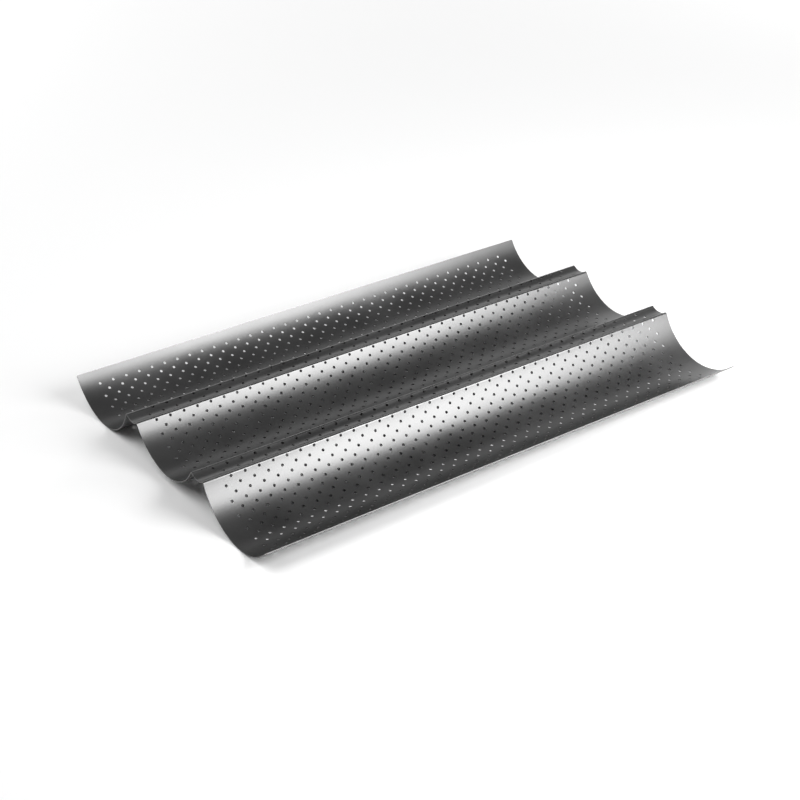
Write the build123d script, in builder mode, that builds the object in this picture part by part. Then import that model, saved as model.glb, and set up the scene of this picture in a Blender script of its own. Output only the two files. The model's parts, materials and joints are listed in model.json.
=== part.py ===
from build123d import *
from math import atan2, cos, sin, sqrt
import os

# Baguette tray: thin coated steel sheet pressed into three open-ended troughs, with a ridge of two
# crests and a shallow valley between neighbouring troughs. The sheet's formed sections are
# separate solids that meet face to face along their bend lines.
#
# Frame: X runs along the troughs, Y from the front rim to the rear rim and Z up. The origin is
# under the tray's centre, on the plane that the two outer troughs stand on.

# Driving dimensions, in millimetres
tray_length = 380.0
sheet_thickness = 0.6
trough_radius = 41.5
middle_trough_rise = 5.5
crest_height = 26.5
crest_inner_radius = 0.9
ridge_width = 13.5
valley_depth = 2.2
rear_rim_height = 21.5
front_rim_height = 13.0
rim_corner_radius = 1.0

# Punched holes. The real sheet is punched all over in a staggered pattern, 36 holes to a row.
# Here every third hole of every sixth row is cut in each trough, with eight flat sides. A trough's
# first row is measured round its curve, from the rear rim or from the ridge behind it.
hole_diameter = 2.0
hole_sides = 8
holes_in_row = 36
end_margin = 13.75
row_spacing = 4.94
rear_first_row = 9.8
middle_first_row = 10.9
front_first_row = 5.6
columns_cut = 12
rows_cut = 3
column_step = 3
row_step = 6

# Worked out from the driving dimensions
crest_radius = crest_inner_radius + sheet_thickness
crest_centre_height = crest_height - crest_radius
outer_centre_height = trough_radius + sheet_thickness
middle_centre_height = outer_centre_height + middle_trough_rise
hole_pitch = (tray_length - 2 * end_margin) / (holes_in_row - 0.5)


def crest_reach(centre_height):
    """Distance across the tray from a trough's centre to the centre of the crest beside it."""
    drop = centre_height - crest_centre_height
    return sqrt((trough_radius + crest_radius) ** 2 - drop**2)


def rim_reach(rim_height):
    """Distance across the tray from an outer trough's centre to the inner edge of its rim."""
    drop = outer_centre_height - rim_height
    return sqrt(trough_radius**2 - drop**2)


def touching_point(centre, radius, other_centre, other_radius):
    """Point where two circles that curve opposite ways touch."""
    share = radius / (radius + other_radius)
    return centre + (other_centre - centre) * share


trough_pitch = crest_reach(outer_centre_height) + ridge_width + crest_reach(middle_centre_height)
rim_overhang = (trough_radius + sheet_thickness) / trough_radius
centring = (rim_reach(rear_rim_height) - rim_reach(front_rim_height)) * rim_overhang / 2

rear_centre = Vector(trough_pitch - centring, outer_centre_height)
middle_centre = Vector(-centring, middle_centre_height)
front_centre = Vector(-trough_pitch - centring, outer_centre_height)

rear_rim = Vector(rear_centre.X + rim_reach(rear_rim_height), rear_rim_height)
front_rim = Vector(front_centre.X - rim_reach(front_rim_height), front_rim_height)


class Ridge:
    """Centres and bend points of the double-crested ridge between two troughs."""

    def __init__(self, behind, ahead):
        half_width = ridge_width / 2
        bend_radii = (half_width**2 + valley_depth**2) / (2 * valley_depth)
        self.valley_radius = bend_radii - crest_radius
        rear_crest = Vector(behind.X - crest_reach(behind.Y), crest_centre_height)
        front_crest = Vector(ahead.X + crest_reach(ahead.Y), crest_centre_height)
        valley = Vector(
            (rear_crest.X + front_crest.X) / 2,
            crest_height - valley_depth + self.valley_radius,
        )
        self.rear_seam = touching_point(behind, trough_radius, rear_crest, crest_radius)
        self.rear_bend = touching_point(rear_crest, crest_radius, valley, self.valley_radius)
        self.front_bend = touching_point(front_crest, crest_radius, valley, self.valley_radius)
        self.front_seam = touching_point(ahead, trough_radius, front_crest, crest_radius)


rear_folds = Ridge(rear_centre, middle_centre)
front_folds = Ridge(middle_centre, front_centre)


def sheet_section(bends):
    """Section of a stretch of sheet, from arcs along its upper side that run from rear to front.

    Each arc is (start, end, radius), with a positive radius in a trough or valley and a negative
    one over a crest.
    """
    with BuildSketch(Plane.YZ.offset(-tray_length / 2)) as section:
        with BuildLine():
            for start, end, radius in bends:
                RadiusArc(start, end, radius)
            offset(amount=sheet_thickness, side=Side.LEFT)
        make_face()
    return section.sketch


def ridge_bends(folds):
    """Arcs over the rear crest, through the valley and over the front crest of a ridge."""
    return [
        (folds.rear_seam, folds.rear_bend, -crest_radius),
        (folds.rear_bend, folds.front_bend, folds.valley_radius),
        (folds.front_bend, folds.front_seam, -crest_radius),
    ]


def punch(centre, rear_edge, first_row):
    """Cuts rows of holes square to a trough's curve, from first_row in front of its rear edge."""
    edge_lean = atan2(rear_edge.X - centre.X, centre.Y - rear_edge.Y)
    for row in range(rows_cut):
        lean = edge_lean - (first_row + row * row_step * row_spacing) / trough_radius
        row_start = Vector(-hole_pitch / 4, centre.X, centre.Y)
        square_to_sheet = Vector(0, sin(lean), -cos(lean))
        with BuildSketch(Plane(row_start, x_dir=(1, 0, 0), z_dir=square_to_sheet)) as row_of_holes:
            with GridLocations(column_step * hole_pitch, 0, columns_cut, 1):
                RegularPolygon(radius=hole_diameter / 2, side_count=hole_sides)
        punch_travel = trough_radius + 2 * sheet_thickness
        extrude(row_of_holes.sketch, amount=punch_travel, mode=Mode.SUBTRACT)


def rim_corner_edges(sheet, rim):
    """The two short edges across the sheet's thickness at the ends of a rim."""
    rim_face = sheet.faces().filter_by(GeomType.PLANE).sort_by_distance(Vector(0, rim.X, rim.Y))[0]
    return rim_face.edges().sort_by(SortBy.LENGTH)[:2]


# Rear trough, from the rear rim to the bend of the rear ridge
with BuildPart() as rear_trough:
    rear_bend = (rear_rim, rear_folds.rear_seam, trough_radius)
    extrude(sheet_section([rear_bend]), amount=tray_length)
    fillet(rim_corner_edges(rear_trough, rear_rim), radius=rim_corner_radius)
    punch(rear_centre, rear_rim, rear_first_row)

# Rear ridge, between the rear and middle troughs
with BuildPart() as rear_ridge:
    extrude(sheet_section(ridge_bends(rear_folds)), amount=tray_length)

# Middle trough
with BuildPart() as middle_trough:
    middle_bend = (rear_folds.front_seam, front_folds.rear_seam, trough_radius)
    extrude(sheet_section([middle_bend]), amount=tray_length)
    punch(middle_centre, rear_folds.front_seam, middle_first_row)

# Front ridge, between the middle and front troughs
with BuildPart() as front_ridge:
    extrude(sheet_section(ridge_bends(front_folds)), amount=tray_length)

# Front trough, from the bend of the front ridge to the front rim
with BuildPart() as front_trough:
    front_bend = (front_folds.front_seam, front_rim, trough_radius)
    extrude(sheet_section([front_bend]), amount=tray_length)
    fillet(rim_corner_edges(front_trough, front_rim), radius=rim_corner_radius)
    punch(front_centre, front_folds.front_seam, front_first_row)

rear_trough.part.label = "rear_trough"
rear_ridge.part.label = "rear_ridge"
middle_trough.part.label = "middle_trough"
front_ridge.part.label = "front_ridge"
front_trough.part.label = "front_trough"

os.makedirs("parts", exist_ok=True)
export_step(rear_trough.part, "parts/rear_trough.step")
export_step(rear_ridge.part, "parts/rear_ridge.step")
export_step(middle_trough.part, "parts/middle_trough.step")
export_step(front_ridge.part, "parts/front_ridge.step")
export_step(front_trough.part, "parts/front_trough.step")
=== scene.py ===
"""Baguette tray of coated and perforated steel sheet, in a plain studio.

The tray is one blank of steel sheet, punched flat and pressed into three troughs. This script
punches the blank, presses it to the tray's section, gives its faces and its cut edges their
finishes, and sets it on a pale floor in soft light.
"""

import json
import logging
import math
from collections.abc import Callable
from dataclasses import dataclass, field
from enum import Enum
from typing import Any

import bpy
import numpy as np
from mathutils import Matrix, Vector
from mathutils.geometry import delaunay_2d_cdt

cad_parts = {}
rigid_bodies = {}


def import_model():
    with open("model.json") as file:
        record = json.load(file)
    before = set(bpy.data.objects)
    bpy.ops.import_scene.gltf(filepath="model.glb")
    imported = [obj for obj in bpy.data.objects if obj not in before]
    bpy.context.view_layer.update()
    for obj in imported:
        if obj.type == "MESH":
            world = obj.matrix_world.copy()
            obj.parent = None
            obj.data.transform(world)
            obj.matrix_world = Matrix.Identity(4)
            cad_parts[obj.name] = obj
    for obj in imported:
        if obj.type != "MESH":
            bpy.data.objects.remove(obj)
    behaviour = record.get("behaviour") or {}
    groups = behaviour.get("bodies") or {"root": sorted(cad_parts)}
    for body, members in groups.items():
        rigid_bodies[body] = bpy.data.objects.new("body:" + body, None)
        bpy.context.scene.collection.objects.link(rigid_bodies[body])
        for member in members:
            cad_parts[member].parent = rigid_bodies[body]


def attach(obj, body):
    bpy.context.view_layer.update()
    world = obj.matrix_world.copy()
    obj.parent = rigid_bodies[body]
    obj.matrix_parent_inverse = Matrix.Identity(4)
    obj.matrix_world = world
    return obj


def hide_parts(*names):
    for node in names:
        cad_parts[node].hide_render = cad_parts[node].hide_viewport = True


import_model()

MM = 0.001
NOISE_MEAN = 0.5
WHITE = (1.0, 1.0, 1.0, 1.0)
Place = tuple[float, float]  # A point of the flat blank: along the tray, and across it
log = logging.getLogger("baguette_tray")


# ----------------------------------------------------------------------------------------------
# Node trees


class Wire:
    """An output of a node, which can be used in sums: each operation adds its Math node."""

    def __init__(self, bench: "Bench", socket: bpy.types.NodeSocket) -> None:
        """Wraps a socket.

        Args:
            bench: The tree that the socket is in.
            socket: The node's output.
        """
        self.bench = bench
        self.socket = socket

    def _math(self, operation: str, *values: "Wire | float") -> "Wire":
        """One Math node.

        Args:
            operation: The node's operation.
            values: Its numbers or wires, in order.

        Returns:
            The node's result.
        """
        inputs = dict(enumerate(values))
        return self.bench.node("ShaderNodeMath", {"operation": operation}, inputs)[0]

    def __add__(self, other: "Wire | float") -> "Wire":
        """This plus other."""
        return self._math("ADD", self, other)

    def __radd__(self, other: "Wire | float") -> "Wire":
        """Other plus this."""
        return self._math("ADD", other, self)

    def __sub__(self, other: "Wire | float") -> "Wire":
        """This less other."""
        return self._math("SUBTRACT", self, other)

    def __rsub__(self, other: "Wire | float") -> "Wire":
        """Other less this."""
        return self._math("SUBTRACT", other, self)

    def __mul__(self, other: "Wire | float") -> "Wire":
        """This times other."""
        return self._math("MULTIPLY", self, other)

    def __rmul__(self, other: "Wire | float") -> "Wire":
        """Other times this."""
        return self._math("MULTIPLY", other, self)

    def clamped(self) -> "Wire":
        """This, kept between 0 and 1."""
        return self.bench.node("ShaderNodeClamp", {}, {"Value": self})[0]

    def ramp(self, low: float, high: float) -> "Wire":
        """A smooth step.

        Args:
            low: Where it leaves 0.
            high: Where it reaches 1.

        Returns:
            0 below low, 1 above high, and a smooth curve between them.
        """
        return self.bench.node(
            "ShaderNodeMapRange",
            {"interpolation_type": "SMOOTHSTEP"},
            {"Value": self, "From Min": low, "From Max": high},
        )[0]


class Outputs:
    """The outputs of a node, by name or by number."""

    def __init__(self, bench: "Bench", node: bpy.types.Node) -> None:
        """Wraps a node.

        Args:
            bench: The tree that the node is in.
            node: The node.
        """
        self.bench = bench
        self.raw = node

    def __getitem__(self, key: int | str) -> Wire:
        """The output of that name or number, among those in use."""
        return Wire(self.bench, find_socket(self.raw.outputs, key))


def find_socket(sockets: Any, key: int | str) -> bpy.types.NodeSocket:
    """Finds a socket.

    Args:
        sockets: A node's inputs or outputs.
        key: The socket's number or its name.

    Returns:
        The first socket in use that has that name, or the one of that number.
    """
    if isinstance(key, int):
        return sockets[key]
    return next(s for s in sockets if s.name == key and s.enabled)


class Bench:
    """A node tree under construction."""

    def __init__(self, tree: bpy.types.NodeTree) -> None:
        """Clears the tree.

        Args:
            tree: A shader or Geometry Nodes tree.
        """
        self.tree = tree
        tree.nodes.clear()

    def node(self, kind: str, settings: dict[str, Any], inputs: dict[int | str, Any]) -> Outputs:
        """Adds a node.

        Args:
            kind: The node's type.
            settings: Its properties, which are set first.
            inputs: Numbers, colours or wires, by the socket's name or number.

        Returns:
            The node's outputs.
        """
        made = self.tree.nodes.new(kind)
        for name, value in settings.items():
            setattr(made, name, value)
        for key, value in inputs.items():
            socket = find_socket(made.inputs, key)
            if isinstance(value, Wire):
                self.tree.links.new(value.socket, socket)
            else:
                socket.default_value = value
        return Outputs(self, made)


# ----------------------------------------------------------------------------------------------
# Finishes


@dataclass(frozen=True)
class Grain:
    """Fineness of a noise: its features to the metre, and its octaves."""

    scale: float
    detail: float


class FinishBench(Bench):
    """The tree of a new material, on Object coordinates."""

    def __init__(self, name: str) -> None:
        """Makes the material.

        Args:
            name: The material's name.
        """
        self.material = bpy.data.materials.new(name)
        self.material.use_nodes = True
        super().__init__(self.material.node_tree)
        self.place = self.node("ShaderNodeTexCoord", {}, {})["Object"]

    def noise(self, grain: Grain) -> Wire:
        """A noise of that grain, which varies about NOISE_MEAN."""
        inputs = {"Vector": self.place, "Scale": grain.scale, "Detail": grain.detail}
        return self.node("ShaderNodeTexNoise", {}, inputs)["Fac"]

    def grey(self, shade: Wire) -> Wire:
        """A neutral colour of that shade."""
        channels = {"Red": shade, "Green": shade, "Blue": shade}
        return self.node("ShaderNodeCombineColor", {}, channels)["Color"]

    def bump(self, relief: Wire, depth_mm: float, **under: Wire) -> Wire:
        """Makes a relief.

        Args:
            relief: Heights between 0 and 1.
            depth_mm: The height of 1, in millimetres.
            under: As Normal, the relief that this one lies on.

        Returns:
            The normals.
        """
        inputs = {"Strength": 1.0, "Distance": depth_mm * MM, "Height": relief, **under}
        return self.node("ShaderNodeBump", {}, inputs)["Normal"]

    def finish(self, inputs: dict[int | str, Any]) -> bpy.types.Material:
        """Adds the shader.

        Args:
            inputs: Values of the shader's sockets, by name.

        Returns:
            The finished material.
        """
        shader = self.node("ShaderNodeBsdfPrincipled", {}, inputs)
        self.node("ShaderNodeOutputMaterial", {}, {"Surface": shader["BSDF"]})
        return self.material


@dataclass(frozen=True)
class NonStickCoating:
    """Dark non-stick coating, baked on to both faces of the sheet.

    Its tone drifts in clouds and is flecked. Its surface has an orange peel and a finer grit on
    it. Stacking and wiping have worn the tops of the crests smoother, in patches, and there the
    colour is painted paler, as a painted highlight along the crests.
    """

    shade: float = 0.155
    shade_spread: float = 0.25
    fleck_share: float = 0.6
    roughness: float = 0.37
    roughness_spread: float = 0.14
    metallic: float = 1.0
    cloud: Grain = Grain(30.0, 3.0)
    fleck: Grain = Grain(1400.0, 2.0)
    peel: Grain = Grain(1.0 / (1.1 * MM), 2.0)
    peel_depth_mm: float = 0.012
    grit: Grain = Grain(1.0 / (0.22 * MM), 1.0)
    grit_depth_mm: float = 0.004
    # How much paler the crest tops are painted: a painted highlight, not the coating's own colour
    painted_crest_highlight: float = 0.35
    rub_smoother: float = 0.10
    rub_and_highlight_heights_mm: tuple[float, float] = (25.4, 26.3)
    rub_and_highlight_patches: Grain = Grain(120.0, 4.0)
    rub_and_highlight_cover: tuple[float, float] = (0.25, 0.60)

    def material(self) -> bpy.types.Material:
        """Builds the coating.

        Returns:
            The material.
        """
        bench = FinishBench("non_stick_coating")
        cloud = bench.noise(self.cloud) - NOISE_MEAN
        fleck = bench.noise(self.fleck) - NOISE_MEAN
        rub_and_highlight = self._rub_and_highlight(bench)
        tone = 1.0 + self.shade_spread * (cloud + self.fleck_share * fleck)
        rough = self.roughness + self.roughness_spread * cloud - self.rub_smoother * rub_and_highlight
        peel = bench.bump(bench.noise(self.peel), self.peel_depth_mm)
        grit = bench.bump(bench.noise(self.grit), self.grit_depth_mm, Normal=peel)
        return bench.finish(
            {
                # The crest tops are painted paler here: a painted highlight along the crests
                "Base Color": bench.grey(self.shade * (tone + self.painted_crest_highlight * rub_and_highlight)),
                "Metallic": self.metallic,
                "Roughness": rough.clamped(),
                "Normal": grit,
            }
        )

    def _rub_and_highlight(self, bench: FinishBench) -> Wire:
        """Where the coating is worn smoother, and where a highlight is painted on the crests.

        Args:
            bench: The coating's tree.

        Returns:
            A mask, 1 in the patches on the tops of the crests, which are worn smoother and
            painted paler as a highlight.
        """
        height = bench.node("ShaderNodeSeparateXYZ", {}, {"Vector": bench.place})["Z"]
        low, high = self.rub_and_highlight_heights_mm
        patches = bench.noise(self.rub_and_highlight_patches).ramp(*self.rub_and_highlight_cover)
        return height.ramp(low * MM, high * MM) * patches


@dataclass(frozen=True)
class CutSteel:
    """Bare steel of the sheet's thickness, sheared at the rims and ends, punched in the holes."""

    shade: float = 0.16
    shade_spread: float = 0.6
    roughness: float = 0.50
    roughness_spread: float = 0.25
    metallic: float = 1.0
    dulling: Grain = Grain(160.0, 3.0)
    grain: Grain = Grain(2500.0, 2.0)
    grain_depth_mm: float = 0.01

    def material(self) -> bpy.types.Material:
        """Builds the bare cut.

        Returns:
            The material.
        """
        bench = FinishBench("cut_steel")
        dulling = bench.noise(self.dulling) - NOISE_MEAN
        return bench.finish(
            {
                "Base Color": bench.grey(self.shade * (1.0 + self.shade_spread * dulling)),
                "Metallic": self.metallic,
                "Roughness": (self.roughness + self.roughness_spread * dulling).clamped(),
                "Normal": bench.bump(bench.noise(self.grain), self.grain_depth_mm),
            }
        )


@dataclass(frozen=True)
class PaleFloor:
    """Matt white floor of the studio."""

    shade: float = 0.9
    shade_spread: float = 0.01
    roughness: float = 0.9
    specular: float = 0.1
    cloud: Grain = Grain(3.0, 2.0)

    def material(self) -> bpy.types.Material:
        """Builds the floor's paint.

        Returns:
            The material.
        """
        bench = FinishBench("pale_floor")
        cloud = bench.noise(self.cloud) - NOISE_MEAN
        return bench.finish(
            {
                "Base Color": bench.grey(self.shade + self.shade_spread * cloud),
                "Roughness": self.roughness,
                "Specular IOR Level": self.specular,
            }
        )


# ----------------------------------------------------------------------------------------------
# The sheet's section


class Form(Enum):
    """The forms that the press gives the sheet."""

    TROUGH = "trough"
    VALLEY = "valley"
    CREST = "crest"


@dataclass(frozen=True)
class Bend:
    """One arc of the section, along the sheet's upper face, from front to rear.

    Lengths are in millimetres and angles in radians. A crest turns down and the others up.
    """

    form: Form
    centre: complex
    radius: float
    start: float
    end: float

    @property
    def length(self) -> float:
        """Length of the arc."""
        return self.radius * abs(self.end - self.start)

    def angle(self, along: np.ndarray) -> np.ndarray:
        """Angle about the centre at distances along the arc."""
        return self.start + (self.end - self.start) * along / self.length

    def point(self, along: np.ndarray) -> np.ndarray:
        """Points at distances along the arc, as complex numbers y + iz."""
        return self.centre + self.radius * np.exp(1j * self.angle(along))

    def upward(self, along: np.ndarray) -> np.ndarray:
        """Directions out of the upper face at distances along the arc."""
        outward = np.exp(1j * self.angle(along))
        return outward if self.form is Form.CREST else -outward


@dataclass
class TraySection:
    """Section across the tray: three troughs, and between them ridges of two crests and a valley.

    Sizes are in millimetres. Complex numbers y + iz stand for points of the section. The facets
    are the strips that a bend of the ridges is made in, and curve_step is about the length of a
    step of the curve that the sheet is pressed to.
    """

    length: float = 380.0
    thickness: float = 0.6
    trough_radius: float = 41.5
    middle_rise: float = 5.5
    crest_height: float = 26.5
    crest_inner_radius: float = 0.9
    ridge_width: float = 13.5
    valley_depth: float = 2.2
    rear_rim_height: float = 21.5
    front_rim_height: float = 13.0
    crest_facets: int = 6
    valley_facets: int = 10
    curve_step: float = 0.5
    curve_steps_least: int = 12
    crest_radius: float = field(init=False)
    bends: list[Bend] = field(init=False, default_factory=list)
    starts: np.ndarray = field(init=False)

    def __post_init__(self) -> None:
        """Works the bends out from the sizes."""
        self.crest_radius = self.crest_inner_radius + self.thickness
        crest_z = self.crest_height - self.crest_radius
        outer_z = self.trough_radius + self.thickness
        middle_z = outer_z + self.middle_rise
        outer_reach = self._reach(outer_z - crest_z)
        middle_reach = self._reach(middle_z - crest_z)
        pitch = outer_reach + self.ridge_width + middle_reach
        rear_overhang = self._rim_reach(self.rear_rim_height)
        front_overhang = self._rim_reach(self.front_rim_height)
        share = (self.trough_radius + self.thickness) / self.trough_radius
        shift = (front_overhang - rear_overhang) * share / 2
        front = shift - pitch + 1j * outer_z
        middle = shift + 1j * middle_z
        rear = shift + pitch + 1j * outer_z
        front_rim = front.real - front_overhang + 1j * self.front_rim_height
        rear_rim = rear.real + rear_overhang + 1j * self.rear_rim_height
        crests = [
            front.real + outer_reach + 1j * crest_z,
            middle.real - middle_reach + 1j * crest_z,
            middle.real + middle_reach + 1j * crest_z,
            rear.real - outer_reach + 1j * crest_z,
        ]
        start = np.angle(front_rim - front)
        for centre, near, far, neighbour in (
            (front, crests[0], crests[1], middle),
            (middle, crests[2], crests[3], rear),
        ):
            end = np.angle(near - centre)
            self.bends.append(Bend(Form.TROUGH, centre, self.trough_radius, start, end))
            start = self._ridge(centre, near, far, neighbour)
        end = np.angle(rear_rim - rear)
        self.bends.append(Bend(Form.TROUGH, rear, self.trough_radius, start, end))
        self.starts = np.concatenate([[0.0], np.cumsum([bend.length for bend in self.bends])])

    @property
    def width(self) -> float:
        """Length of the section along its upper face, which is the blank's width."""
        return float(self.starts[-1])

    def _reach(self, drop: float) -> float:
        """Distance across the tray from a trough's centre to a crest's, for their drop."""
        return math.sqrt((self.trough_radius + self.crest_radius) ** 2 - drop**2)

    def _rim_reach(self, height: float) -> float:
        """Distance across the tray from an outer trough's centre to a rim of that height."""
        drop = self.trough_radius + self.thickness - height
        return math.sqrt(self.trough_radius**2 - drop**2)

    def _ridge(self, front: complex, near: complex, far: complex, rear: complex) -> float:
        """Adds a ridge's bends.

        Args:
            front: Centre of the trough in front.
            near: Centre of the front crest.
            far: Centre of the rear crest.
            rear: Centre of the trough behind.

        Returns:
            The angle at which the trough behind starts.
        """
        half = self.ridge_width / 2
        radii = (half**2 + self.valley_depth**2) / (2 * self.valley_depth)
        valley_radius = radii - self.crest_radius
        valley_z = self.crest_height - self.valley_depth + valley_radius
        valley = (near.real + far.real) / 2 + 1j * valley_z
        for form, centre, radius, before, after in (
            (Form.CREST, near, self.crest_radius, front, valley),
            (Form.VALLEY, valley, valley_radius, near, far),
            (Form.CREST, far, self.crest_radius, valley, rear),
        ):
            start, end = np.angle(before - centre), np.angle(after - centre)
            self.bends.append(Bend(form, centre, radius, start, end))
        return float(np.angle(far - rear))

    def _each(
        self, along: np.ndarray, what: Callable[[Bend, np.ndarray], np.ndarray]
    ) -> np.ndarray:
        """A bend's own answer for each distance.

        Args:
            along: Distances from the front rim, along the upper face.
            what: The method of Bend to ask.

        Returns:
            One complex number for each distance.
        """
        along = np.asarray(along, float)
        index = np.searchsorted(self.starts, along, side="right") - 1
        index = np.clip(index, 0, len(self.bends) - 1)
        result = np.zeros(along.shape, complex)
        for number, bend in enumerate(self.bends):
            mask = index == number
            result[mask] = what(bend, along[mask] - self.starts[number])
        return result

    def points(self, along: np.ndarray) -> np.ndarray:
        """Points of the upper face at distances from the front rim."""
        return self._each(along, Bend.point)

    def upward(self, along: np.ndarray) -> np.ndarray:
        """Directions out of the upper face at distances from the front rim."""
        return self._each(along, Bend.upward)

    def creases(self) -> list[float]:
        """Places the edges that the tight bends of the ridges need across the sheet.

        Returns:
            Distances from the front rim, in order.
        """
        facets = {Form.CREST: self.crest_facets, Form.VALLEY: self.valley_facets}
        places: list[float] = []
        for bend, start in zip(self.bends, self.starts):
            if bend.form in facets:
                places += list(start + np.linspace(0.0, bend.length, facets[bend.form] + 1))
        return sorted({round(place, 6) for place in places})

    def curve(self) -> bpy.types.Object:
        """The section as a curve that the pressing follows.

        Returns:
            A curve of one open spline, in metres, not linked to the scene.
        """
        along: list[float] = []
        for bend, start in zip(self.bends, self.starts):
            steps = max(self.curve_steps_least, int(bend.length / self.curve_step))
            along += list(start + np.linspace(0.0, bend.length, steps + 1)[:-1])
        along.append(self.width)
        points = self.points(np.array(along)) * MM
        data = bpy.data.curves.new("tray_section", "CURVE")
        data.dimensions = "3D"
        spline = data.splines.new("POLY")
        spline.points.add(len(points) - 1)
        for knot, point in zip(spline.points, points):
            knot.co = (0.0, point.real, point.imag, 1.0)
        return bpy.data.objects.new("tray_section", data)


# ----------------------------------------------------------------------------------------------
# The punched blank


def smooth_step(places: np.ndarray, low: float, high: float) -> np.ndarray:
    """A smooth step.

    Args:
        places: Numbers.
        low: Where it leaves 0.
        high: Where it reaches 1.

    Returns:
        0 for the numbers below low, 1 above high, and a smooth curve between them.
    """
    part = np.clip((places - low) / (high - low), 0.0, 1.0)
    return part * part * (3.0 - 2.0 * part)


@dataclass
class PunchPattern:
    """Staggered holes of the blank, in rows along the tray.

    Sizes are in millimetres. Places across the blank are distances from its front rim, and
    places along it are from its middle. Deep in the middle trough the press draws the rows
    forward by middle_draw, which comes in and goes out over the two stretches given. A crease
    closer than crease_gap to the edge of a row is left to that edge.
    """

    section: TraySection
    hole_diameter: float = 2.0
    hole_sides: int = 12
    holes_in_row: int = 36
    pitch: float = 9.93
    rows: int = 56
    first_row: float = 11.3
    row_spacing: float = 4.94
    middle_draw: float = 1.9
    draw_comes_in: tuple[float, float] = (80.0, 143.0)
    draw_goes_out: tuple[float, float] = (183.0, 209.0)
    crease_gap: float = 0.12
    border_strips: int = 3
    corner_radius: float = 1.0
    corner_facets: int = 5
    edges: np.ndarray = field(init=False)
    centres: np.ndarray = field(init=False)
    creases: list[float] = field(init=False)

    def __post_init__(self) -> None:
        """Works out where the rows and the creases lie once the sheet is pressed."""
        edges = self.first_row + self.row_spacing * (np.arange(self.rows + 1) - 0.5)
        self.edges = self._drawn(edges)
        self.centres = (self.edges[:-1] + self.edges[1:]) / 2
        self.creases = [
            place
            for place in self.section.creases()
            if self.edges[0] < place < self.edges[-1]
            and np.abs(self.edges - place).min() > self.crease_gap
        ]

    def _drawn(self, places: np.ndarray) -> np.ndarray:
        """Moves places forward where the press draws the sheet into the middle trough.

        Args:
            places: Distances from the front rim in the even pattern.

        Returns:
            Distances from the front rim in the pressed sheet.
        """
        drawn = smooth_step(places, *self.draw_comes_in)
        released = smooth_step(places, *self.draw_goes_out)
        return places - self.middle_draw * drawn * (1.0 - released)

    def first_hole(self, row: int) -> float:
        """Place along the tray of a row's first hole. Every other row starts half a pitch on."""
        row_length = self.pitch * (self.holes_in_row - 0.5)
        return -row_length / 2 + (0.0 if row % 2 else self.pitch / 2)

    def row_creases(self, row: int) -> list[float]:
        """Creases that cross a row."""
        return [place for place in self.creases if self.edges[row] < place < self.edges[row + 1]]

    def die(self, name: str, height: float, lines: list[float]) -> bpy.types.Object:
        """A plate with one hole in its middle, from which a row is made.

        Args:
            name: The plate's name.
            height: Its size across the row.
            lines: Where it has an edge across it, from its middle.

        Returns:
            The plate, a flat mesh that faces up, in metres.
        """
        half_x, half_y = self.pitch / 2, height / 2
        turns = np.arange(self.hole_sides) * 2 * np.pi / self.hole_sides
        radius = self.hole_diameter / 2
        ring = [(radius * math.cos(turn), radius * math.sin(turn)) for turn in turns]
        outline = [
            (-half_x, -half_y),
            (0.0, -half_y),
            (half_x, -half_y),
            (half_x, half_y),
            (0.0, half_y),
            (-half_x, half_y),
        ]
        lines_across = [((-half_x, line), (half_x, line)) for line in lines]
        inside = radius * math.cos(math.pi / self.hole_sides)
        return plate(name, [outline, ring], lines_across, lambda x, y: math.hypot(x, y) > inside)

    def margins(self) -> bpy.types.Object:
        """The plain borders of the blank, round the punched rows.

        Returns:
            A flat mesh that faces up, in metres, with an edge across it at each row and crease.
        """
        long, wide, corner = self.section.length / 2, self.section.width, self.corner_radius
        quarter = np.linspace(0.0, 0.5, self.corner_facets + 1)
        outline: list[Place] = []
        # The centre of each rounded corner, and the angle at which it starts, in half turns
        for x, y, turn in (
            (long - corner, corner, -0.5),
            (long - corner, wide - corner, 0.0),
            (corner - long, wide - corner, 0.5),
            (corner - long, corner, 1.0),
        ):
            for angle in math.pi * (turn + quarter):
                outline.append((x + corner * math.cos(angle), y + corner * math.sin(angle)))
        places = sorted({*self.edges, *self.creases, *self._border_lines()})
        lines_across = [((-long, place), (long, place)) for place in places]
        loops = [outline, self._staircase()]
        return plate("blank_margins", loops, lines_across, self._in_border)

    def _in_border(self, x: float, y: float) -> bool:
        """Tells the plain borders from the punched rows.

        Args:
            x: A place along the blank.
            y: Its place across the blank.

        Returns:
            True in the borders.
        """
        row = int(np.searchsorted(self.edges, y)) - 1
        if row < 0 or row >= self.rows:
            return True
        left = self.first_hole(row) - self.pitch / 2
        return not left < x < left + self.pitch * self.holes_in_row

    def _border_lines(self) -> list[float]:
        """Divides the plain borders in front of the first row and behind the last.

        Returns:
            The places across the blank of the edges that divide them.
        """
        count = self.border_strips + 1
        last = self.section.width - self.corner_radius
        front = np.linspace(self.corner_radius, self.edges[0], count)[:-1]
        rear = np.linspace(self.edges[-1], last, count)[1:]
        return [*front, *rear]

    def _staircase(self) -> list[Place]:
        """Goes round the punched rows, whose ends step in and out.

        Returns:
            The outline, with a point wherever one of the rows' plates has a corner.
        """
        half = self.pitch / 2
        left: list[Place] = []
        right: list[Place] = []
        for row in range(self.rows):
            start = self.first_hole(row) - half
            stop = start + self.pitch * self.holes_in_row
            for place in (self.edges[row], *self.row_creases(row), self.edges[row + 1]):
                left.append((start, place))
                right.append((stop, place))
        first = self.first_hole(0) - half
        last = self.first_hole(self.rows - 1) - half
        count = 2 * self.holes_in_row
        near = [(first + half * i, self.edges[0]) for i in range(1, count)]
        far = [(last + half * i, self.edges[-1]) for i in range(count - 1, 0, -1)]
        return near + right + far + left[::-1]


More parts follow.
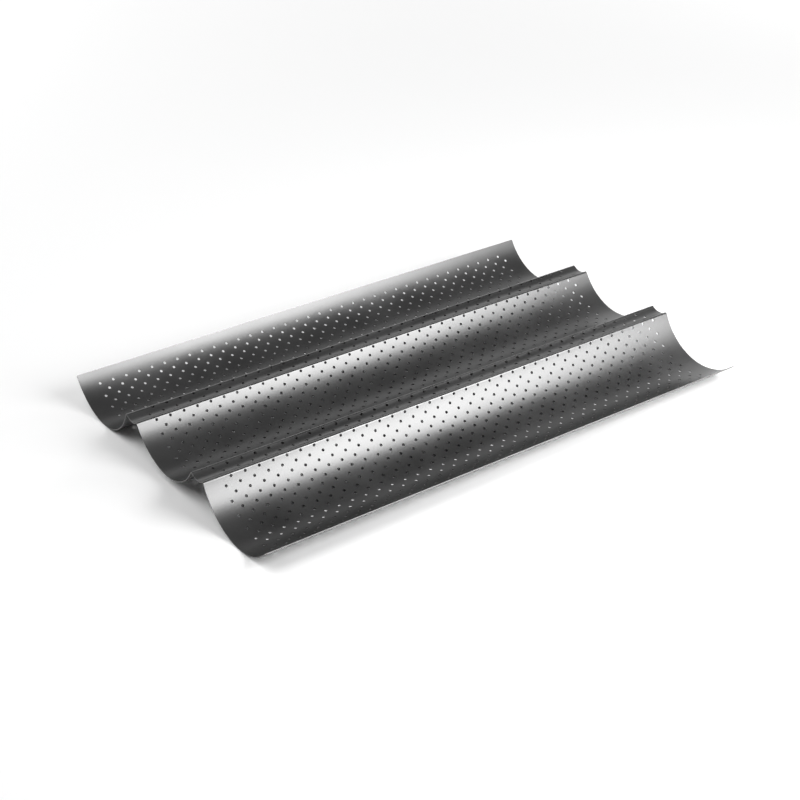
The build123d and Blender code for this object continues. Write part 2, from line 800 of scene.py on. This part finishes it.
def plate(
    name: str,
    loops: list[list[Place]],
    lines: list[tuple[Place, Place]],
    keep: Callable[[float, float], bool],
) -> bpy.types.Object:
    """Cuts a flat plate.

    Args:
        name: The plate's name.
        loops: Closed outlines, outer and inner, in millimetres.
        lines: Edges across the plate, in millimetres.
        keep: Says of the middle of a triangle whether it belongs to the plate.

    Returns:
        The plate as an object, in metres, facing up.
    """
    same_point = 1e-5
    points: list[Vector] = []
    edges: list[tuple[int, int]] = []
    for loop in loops:
        start = len(points)
        points += [Vector(point) for point in loop]
        edges += [(start + i, start + (i + 1) % len(loop)) for i in range(len(loop))]
    for line in lines:
        edges.append((len(points), len(points) + 1))
        points += [Vector(end) for end in line]
    coords, _, faces, *_ = delaunay_2d_cdt(points, edges, [], 0, same_point)
    kept: list[list[int]] = []
    for face in faces:
        middle = sum((coords[i] for i in face), Vector((0.0, 0.0))) / len(face)
        if keep(middle.x, middle.y):
            a, b, c = (coords[i] for i in face)
            faces_up = (b - a).cross(c - a) > 0
            kept.append(face if faces_up else face[::-1])
    used = sorted({i for face in kept for i in face})
    number = {old: new for new, old in enumerate(used)}
    mesh = bpy.data.meshes.new(name)
    mesh.from_pydata(
        [(coords[i].x * MM, coords[i].y * MM, 0.0) for i in used],
        [],
        [[number[i] for i in face] for face in kept],
    )
    return bpy.data.objects.new(name, mesh)


# ----------------------------------------------------------------------------------------------
# The pressed sheet


def named_attribute(bench: Bench, name: str, kind: str) -> Wire:
    """Reads an attribute of the geometry, whose data type is kind."""
    settings = {"data_type": kind}
    return bench.node("GeometryNodeInputNamedAttribute", settings, {"Name": name})["Attribute"]


def weld(bench: Bench, first: Wire, second: Wire) -> Wire:
    """Joins two meshes and merges the points that they share.

    Args:
        bench: The tree.
        first: A mesh.
        second: A mesh with points in the same places.

    Returns:
        The one mesh.
    """
    same_place = 0.004 * MM
    joined = bench.node("GeometryNodeJoinGeometry", {}, {"Geometry": first})
    bench.tree.links.new(second.socket, joined.raw.inputs["Geometry"])
    inputs = {"Geometry": joined["Geometry"], "Distance": same_place}
    return bench.node("GeometryNodeMergeByDistance", {}, inputs)["Geometry"]


def realized(bench: Bench, instances: Wire) -> Wire:
    """Turns instances into real geometry."""
    return bench.node("GeometryNodeRealizeInstances", {}, {"Geometry": instances})["Geometry"]


def object_mesh(bench: Bench, source: Wire) -> Wire:
    """The geometry of an object."""
    return bench.node("GeometryNodeObjectInfo", {}, {"Object": source})["Geometry"]


@dataclass
class PressedSheet:
    """The tray itself: the blank, punched with its holes and pressed to the section."""

    section: TraySection
    pattern: PunchPattern
    coating: NonStickCoating = NonStickCoating()
    cut: CutSteel = CutSteel()

    def build(self) -> bpy.types.Object:
        """Punches and presses the sheet.

        Returns:
            The sheet as a plain mesh, one closed solid.
        """
        dies, rows = self._dies_and_rows()
        margins = self.pattern.margins()
        curve = self.section.curve()
        helpers = bpy.data.collections.new("press_tools")
        bpy.context.scene.collection.children.link(helpers)
        for tool in (margins, curve):
            helpers.objects.link(tool)
        bpy.context.scene.collection.objects.link(rows)
        tree = self._tree()
        press = rows.modifiers.new("press", "NODES")
        press.node_group = tree
        values = {
            "Dies": dies,
            "Margins": margins,
            "Section": curve,
            "Holes in Row": self.pattern.holes_in_row,
            "Hole Pitch": self.pattern.pitch * MM,
            "Thickness": self.section.thickness * MM,
            "Coating": self.coating.material(),
            "Cut Edge": self.cut.material(),
        }
        for item in tree.interface.items_tree:
            if item.item_type == "SOCKET" and item.in_out == "INPUT" and item.name in values:
                press[item.identifier] = values[item.name]
        rows.update_tag()
        bpy.context.view_layer.update()
        depsgraph = bpy.context.evaluated_depsgraph_get()
        mesh = bpy.data.meshes.new_from_object(rows.evaluated_get(depsgraph), depsgraph=depsgraph)
        rows.modifiers.remove(press)
        bpy.data.objects.remove(rows)
        for tool in [*dies.objects, margins, curve]:
            bpy.data.objects.remove(tool)
        bpy.data.collections.remove(dies)
        bpy.data.collections.remove(helpers)
        self._shade(mesh)
        mesh.name = "perforated_sheet"
        sheet = bpy.data.objects.new("perforated_sheet", mesh)
        bpy.context.scene.collection.objects.link(sheet)
        return sheet

    def _dies_and_rows(self) -> tuple[bpy.types.Collection, bpy.types.Object]:
        """The plates that rows are made from, and the rows.

        Returns:
            The collection of plates in name order, and a mesh with a point at each row's first
            hole, whose attributes are the number of its plate and how much the plate is drawn.
        """
        pattern = self.pattern
        dies = bpy.data.collections.new("dies")
        bpy.context.scene.collection.children.link(dies)
        dies.objects.link(pattern.die("die_00", pattern.row_spacing, []))
        numbers: list[int] = []
        stretches: list[float] = []
        for row in range(pattern.rows):
            height = pattern.edges[row + 1] - pattern.edges[row]
            lines = [place - pattern.centres[row] for place in pattern.row_creases(row)]
            if lines:
                numbers.append(len(dies.objects))
                stretches.append(1.0)
                dies.objects.link(pattern.die(f"die_{len(dies.objects):02d}", height, lines))
            else:
                numbers.append(0)
                stretches.append(height / pattern.row_spacing)
        mesh = bpy.data.meshes.new("rows")
        points = [
            (pattern.first_hole(row) * MM, pattern.centres[row] * MM, 0.0)
            for row in range(pattern.rows)
        ]
        mesh.from_pydata(points, [], [])
        mesh.attributes.new("die", "INT", "POINT").data.foreach_set("value", numbers)
        mesh.attributes.new("stretch", "FLOAT", "POINT").data.foreach_set("value", stretches)
        return dies, bpy.data.objects.new("rows", mesh)

    def _tree(self) -> bpy.types.NodeTree:
        """Geometry Nodes that punch the blank and press it.

        Returns:
            The tree, with its sizes, tools and finishes as named inputs.
        """
        tree = bpy.data.node_groups.new("punch_and_press", "GeometryNodeTree")
        for name, kind in (
            ("Rows", "NodeSocketGeometry"),
            ("Dies", "NodeSocketCollection"),
            ("Margins", "NodeSocketObject"),
            ("Section", "NodeSocketObject"),
            ("Holes in Row", "NodeSocketInt"),
            ("Hole Pitch", "NodeSocketFloat"),
            ("Thickness", "NodeSocketFloat"),
            ("Coating", "NodeSocketMaterial"),
            ("Cut Edge", "NodeSocketMaterial"),
        ):
            tree.interface.new_socket(name, in_out="INPUT", socket_type=kind)
        tree.interface.new_socket("Sheet", in_out="OUTPUT", socket_type="NodeSocketGeometry")
        bench = Bench(tree)
        given = bench.node("NodeGroupInput", {}, {})
        blank = self._punch(bench, given)
        solid = self._thicken(bench, given, blank)
        pressed = self._press(bench, given, solid)
        coated = bench.node(
            "GeometryNodeSetMaterial",
            {},
            {"Geometry": realized(bench, pressed), "Material": given["Coating"]},
        )
        cut = named_attribute(bench, "cut", "BOOLEAN")
        bared = bench.node(
            "GeometryNodeSetMaterial",
            {},
            {"Geometry": coated["Geometry"], "Selection": cut, "Material": given["Cut Edge"]},
        )
        bench.node("NodeGroupOutput", {}, {"Sheet": bared["Geometry"]})
        return tree

    @staticmethod
    def _punch(bench: Bench, given: Outputs) -> Wire:
        """The flat blank's upper face, with its holes.

        Args:
            bench: The tree.
            given: The tree's inputs.

        Returns:
            The geometry.
        """
        step = bench.node("ShaderNodeCombineXYZ", {}, {"X": given["Hole Pitch"]})["Vector"]
        line = bench.node(
            "GeometryNodeMeshLine",
            {"mode": "OFFSET"},
            {"Count": given["Holes in Row"], "Offset": step},
        )["Mesh"]
        rows = bench.node(
            "GeometryNodeInstanceOnPoints",
            {},
            {"Points": given["Rows"], "Instance": line},
        )["Instances"]
        dies = bench.node(
            "GeometryNodeCollectionInfo",
            {},
            {"Collection": given["Dies"], "Separate Children": True, "Reset Children": True},
        )["Instances"]
        die = named_attribute(bench, "die", "INT")
        stretch = named_attribute(bench, "stretch", "FLOAT")
        scale = bench.node("ShaderNodeCombineXYZ", {}, {"X": 1.0, "Y": stretch, "Z": 1.0})
        plates = bench.node(
            "GeometryNodeInstanceOnPoints",
            {},
            {
                "Points": realized(bench, rows),
                "Instance": dies,
                "Pick Instance": True,
                "Instance Index": die,
                "Scale": scale["Vector"],
            },
        )["Instances"]
        return weld(bench, realized(bench, plates), object_mesh(bench, given["Margins"]))

    @staticmethod
    def _thicken(bench: Bench, given: Outputs, blank: Wire) -> Wire:
        """Gives the blank its thickness, and marks the cut faces.

        Args:
            bench: The tree.
            given: The tree's inputs.
            blank: The upper face.

        Returns:
            The flat solid.
        """
        down = bench.node(
            "GeometryNodeExtrudeMesh",
            {"mode": "FACES"},
            {"Mesh": blank, "Offset Scale": -1.0 * given["Thickness"], "Individual": False},
        )
        marked = bench.node(
            "GeometryNodeStoreNamedAttribute",
            {"data_type": "BOOLEAN", "domain": "FACE"},
            {"Geometry": down["Mesh"], "Name": "cut", "Value": down["Side"]},
        )["Geometry"]
        turned = bench.node("GeometryNodeFlipFaces", {}, {"Mesh": marked})["Mesh"]
        place = bench.node("GeometryNodeInputPosition", {}, {})["Position"]
        return bench.node(
            "GeometryNodeStoreNamedAttribute",
            {"data_type": "FLOAT_VECTOR", "domain": "POINT"},
            {"Geometry": weld(bench, turned, blank), "Name": "blank", "Value": place},
        )["Geometry"]

    @staticmethod
    def _press(bench: Bench, given: Outputs, solid: Wire) -> Wire:
        """Bends the flat solid to the section.

        Args:
            bench: The tree.
            given: The tree's inputs.
            solid: The flat solid, whose Y runs along the section from the front rim.

        Returns:
            The pressed solid.
        """
        place = bench.node("GeometryNodeInputPosition", {}, {})["Position"]
        flat = bench.node("ShaderNodeSeparateXYZ", {}, {"Vector": place})
        sample = bench.node(
            "GeometryNodeSampleCurve",
            {"mode": "LENGTH", "use_all_curves": False},
            {"Curves": object_mesh(bench, given["Section"]), "Length": flat["Y"]},
        )
        upward = bench.node(
            "ShaderNodeVectorMath",
            {"operation": "CROSS_PRODUCT"},
            {0: (1.0, 0.0, 0.0), 1: sample["Tangent"]},
        )["Vector"]
        raised = bench.node(
            "ShaderNodeVectorMath",
            {"operation": "SCALE"},
            {0: upward, "Scale": flat["Z"]},
        )["Vector"]
        along = bench.node("ShaderNodeCombineXYZ", {}, {"X": flat["X"]})["Vector"]
        adding = {"operation": "ADD"}
        lifted = bench.node("ShaderNodeVectorMath", adding, {0: sample["Position"], 1: raised})
        moved = bench.node("ShaderNodeVectorMath", adding, {0: lifted["Vector"], 1: along})
        return bench.node(
            "GeometryNodeSetPosition",
            {},
            {"Geometry": solid, "Position": moved["Vector"]},
        )["Geometry"]

    def _shade(self, mesh: bpy.types.Mesh) -> None:
        """Gives the two faces the smooth normals of the section, and leaves the cuts flat.

        Args:
            mesh: The pressed sheet, with the attributes "blank" and "cut".
        """
        blank = np.zeros(len(mesh.vertices) * 3, np.float32)
        mesh.attributes["blank"].data.foreach_get("vector", blank)
        blank = blank.reshape(-1, 3) / MM
        cut = np.zeros(len(mesh.polygons), bool)
        mesh.attributes["cut"].data.foreach_get("value", cut)
        corner = np.zeros(len(mesh.loops), np.int32)
        mesh.loops.foreach_get("vertex_index", corner)
        totals = np.zeros(len(mesh.polygons), np.int32)
        mesh.polygons.foreach_get("loop_total", totals)
        own = np.zeros(len(mesh.polygons) * 3, np.float32)
        mesh.polygons.foreach_get("normal", own)
        face = np.repeat(np.arange(len(mesh.polygons)), totals)
        upward = self.section.upward(blank[:, 1])
        normals = np.column_stack([np.zeros(len(upward)), upward.real, upward.imag])[corner]
        normals[blank[corner, 2] < -self.section.thickness / 2] *= -1.0
        normals[cut[face]] = own.reshape(-1, 3)[face][cut[face]]
        mesh.shade_smooth()
        mesh.normals_split_custom_set(normals.tolist())
        mesh.attributes.remove(mesh.attributes["blank"])
        mesh.attributes.remove(mesh.attributes["cut"])


# ----------------------------------------------------------------------------------------------
# The studio


@dataclass(frozen=True)
class SoftBox:
    """A square or oblong soft light. Lengths are in metres and the power in watts."""

    name: str
    place: tuple[float, float, float]
    target: tuple[float, float, float]
    size: tuple[float, float]
    power: float

    def build(self) -> None:
        """Hangs the light and turns it to its target."""
        data = bpy.data.lights.new(self.name, "AREA")
        data.shape = "RECTANGLE"
        data.size, data.size_y = self.size
        data.energy = self.power
        light = bpy.data.objects.new(self.name, data)
        bpy.context.scene.collection.objects.link(light)
        aim = Vector(self.target) - Vector(self.place)
        turn = aim.to_track_quat("-Z", "Y").to_matrix().to_4x4()
        light.matrix_world = Matrix.Translation(self.place) @ turn


@dataclass
class Studio:
    """Floor, lights and camera. Lengths are in metres unless named, and angles in degrees."""

    floor_size: float = 8.0
    floor: PaleFloor = PaleFloor()
    sky: float = 0.10
    camera_place: tuple[float, float, float] = (-0.540823, -0.761438, 0.527969)
    azimuth: float = -35.0134
    elevation: float = 29.7582
    roll: float = -0.746
    lens_mm: float = 69.72
    sensor_mm: float = 36.0
    clip: tuple[float, float] = (0.05, 30.0)
    lights: tuple[SoftBox, ...] = (
        SoftBox("key", (0.280, -0.550, 0.340), (0.0, 0.0, 0.02), (0.58, 0.58), 7.9),
        SoftBox("overhead", (-1.1, 0.5, 2.0), (0.1, 0.4, 0.0), (2.0, 2.0), 33.0),
        SoftBox("backdrop", (0.95, 1.38, 0.62), (0.4, 0.6, 0.3), (2.6, 1.2), 9.8),
        SoftBox("left_wash", (-0.7, 1.5, 0.7), (0.1, 0.95, 0.0), (1.0, 0.6), 8.0),
        SoftBox("right_wash", (1.6, 0.3, 0.6), (0.85, 0.5, 0.0), (1.0, 0.6), 6.5),
    )

    def build(self) -> None:
        """Sets the floor, the lights, the sky and the camera up."""
        self._lay_floor()
        for light in self.lights:
            light.build()
        world = bpy.data.worlds.new("soft_sky")
        world.use_nodes = True
        bench = Bench(world.node_tree)
        sky = bench.node("ShaderNodeBackground", {}, {"Color": WHITE, "Strength": self.sky})
        bench.node("ShaderNodeOutputWorld", {}, {"Surface": sky["Background"]})
        bpy.context.scene.world = world
        bpy.context.scene.view_settings.view_transform = "Standard"
        self._set_camera()

    def _lay_floor(self) -> None:
        """Lays the floor under the tray."""
        half = self.floor_size / 2
        mesh = bpy.data.meshes.new("studio_floor")
        square = [(-half, -half, 0.0), (half, -half, 0.0), (half, half, 0.0), (-half, half, 0.0)]
        mesh.from_pydata(square, [], [(0, 1, 2, 3)])
        mesh.materials.append(self.floor.material())
        floor = bpy.data.objects.new("studio_floor", mesh)
        bpy.context.scene.collection.objects.link(floor)

    def _set_camera(self) -> None:
        """Aims the camera along the line from which the tray is seen."""
        turn = math.radians(self.azimuth)
        rise = math.radians(self.elevation)
        lean = math.radians(self.roll)
        level = Vector((math.cos(turn), math.sin(turn), 0.0))
        out = Vector((math.sin(turn), -math.cos(turn), 0.0))
        back = math.cos(rise) * out + math.sin(rise) * Vector((0.0, 0.0, 1.0))
        up = back.cross(level)
        right = math.cos(lean) * level + math.sin(lean) * up
        top = math.cos(lean) * up - math.sin(lean) * level
        data = bpy.data.cameras.new("camera")
        data.sensor_width = self.sensor_mm
        data.lens = self.lens_mm
        data.clip_start, data.clip_end = self.clip
        camera = bpy.data.objects.new("camera", data)
        bpy.context.scene.collection.objects.link(camera)
        aim = Matrix((right, top, back)).transposed().to_4x4()
        camera.matrix_world = Matrix.Translation(self.camera_place) @ aim
        bpy.context.scene.camera = camera


def main() -> None:
    """Builds the tray and the studio, and reports each piece."""
    logging.basicConfig(level=logging.INFO, format="%(message)s")
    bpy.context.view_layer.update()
    section = TraySection()
    pattern = PunchPattern(section)
    sheet = PressedSheet(section, pattern).build()
    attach(sheet, "root")
    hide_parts("rear_trough", "rear_ridge", "middle_trough", "front_ridge", "front_trough")
    triangles = sum(len(face.vertices) - 2 for face in sheet.data.polygons)
    log.info("%s: %d vertices, %d triangles", sheet.name, len(sheet.data.vertices), triangles)
    Studio().build()
    log.info("studio: floor, lights and camera")


if __name__ == "__main__":
    main()
